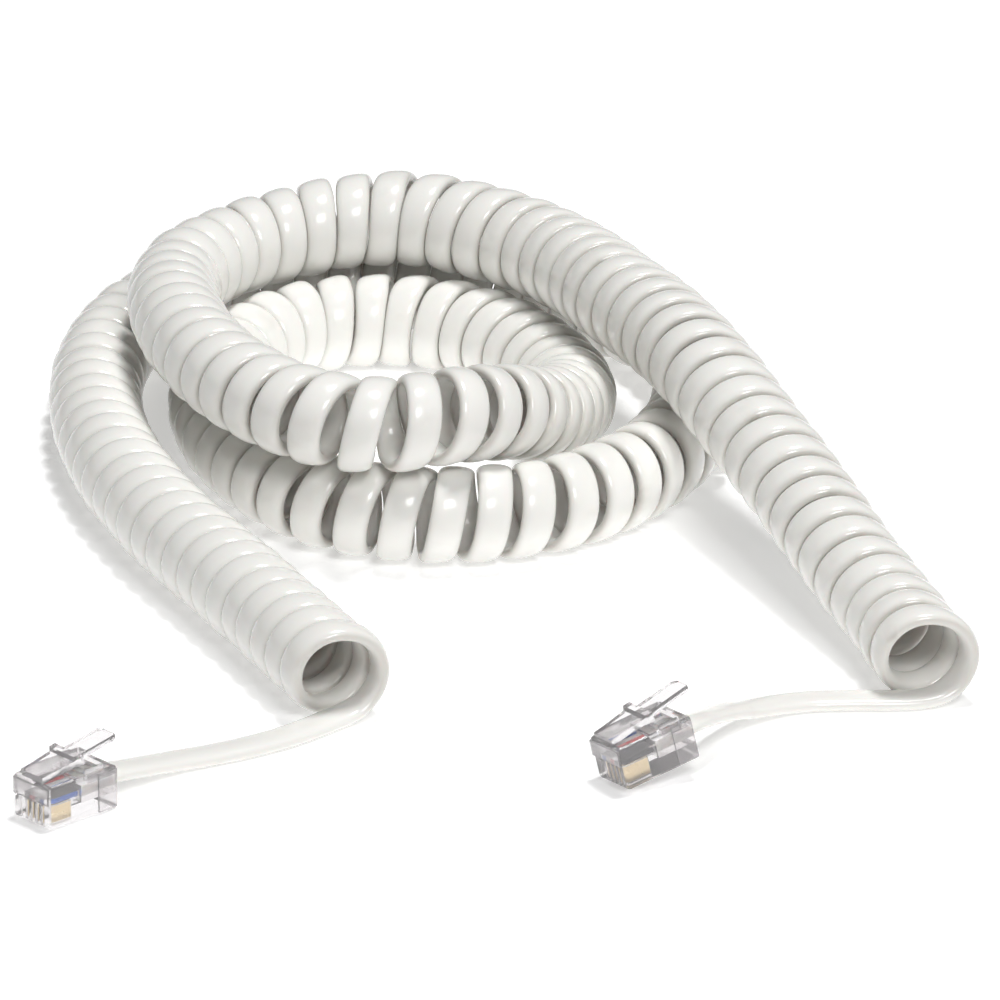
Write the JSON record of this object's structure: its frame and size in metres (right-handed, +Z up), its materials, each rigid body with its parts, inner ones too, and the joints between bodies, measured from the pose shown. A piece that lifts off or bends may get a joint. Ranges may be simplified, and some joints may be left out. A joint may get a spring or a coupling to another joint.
{
  "type": "coiled telephone handset cord",
  "caption": "White coiled telephone handset cord laid in loops, with a flat straight lead and a clear 4P4C modular plug with a spring latch at each end.",
  "frame": {"origin": "on the surface the cord lies on, under the middle of the whole cord's bounding box", "axes": "+Z up; +Y from the two plugs towards the loops, the longest way across the cord; +X from the base end (left) to the handset end (right), seen from the plugs"},
  "size_m": [0.1289, 0.1926, 0.0278],
  "materials": {
    "white_vinyl": "glossy white PVC jacket",
    "clear_polycarbonate": "clear moulded polycarbonate, slightly grey",
    "gold_plate": "gold-plated contact blades",
    "blue_insulation": "satin blue conductor insulation",
    "white_insulation": "satin white conductor insulation",
    "red_insulation": "satin red conductor insulation",
    "black_insulation": "satin black conductor insulation"
  },
  "bodies": {
    "cord_and_plugs": {"coiled_cord": "white_vinyl", "base_lead": "white_vinyl", "base_plug_housing": "clear_polycarbonate", "base_strain_wedge": "clear_polycarbonate", "base_contact_1": "gold_plate", "base_contact_2": "gold_plate", "base_contact_3": "gold_plate", "base_contact_4": "gold_plate", "base_conductor_blue": "blue_insulation", "base_conductor_white": "white_insulation", "base_conductor_red": "red_insulation", "base_conductor_black": "black_insulation", "handset_lead": "white_vinyl", "handset_plug_housing": "clear_polycarbonate", "handset_strain_wedge": "clear_polycarbonate", "handset_contact_1": "gold_plate", "handset_contact_2": "gold_plate", "handset_contact_3": "gold_plate", "handset_contact_4": "gold_plate", "handset_conductor_blue": "blue_insulation", "handset_conductor_white": "white_insulation", "handset_conductor_red": "red_insulation", "handset_conductor_black": "black_insulation"},
    "base_latch": {"base_plug_latch": "clear_polycarbonate"},
    "handset_latch": {"handset_plug_latch": "clear_polycarbonate"}
  },
  "joints": [
    {"name": "base_latch_flex", "type": "hinge", "parent": "cord_and_plugs", "child": "base_latch", "pos_m": [-0.06102, -0.09327, 0.00685], "axis": [-0.682, 0.7314, 0], "range_deg": [0, 8], "stiffness_Nm_per_rad": 0.26},
    {"name": "handset_latch_flex", "type": "hinge", "parent": "cord_and_plugs", "child": "handset_latch", "pos_m": [0.01488, -0.08134, 0.00717], "axis": [-0.5249, 0.8449, -0.1026], "range_deg": [0, 8], "stiffness_Nm_per_rad": 0.26}
  ]
}
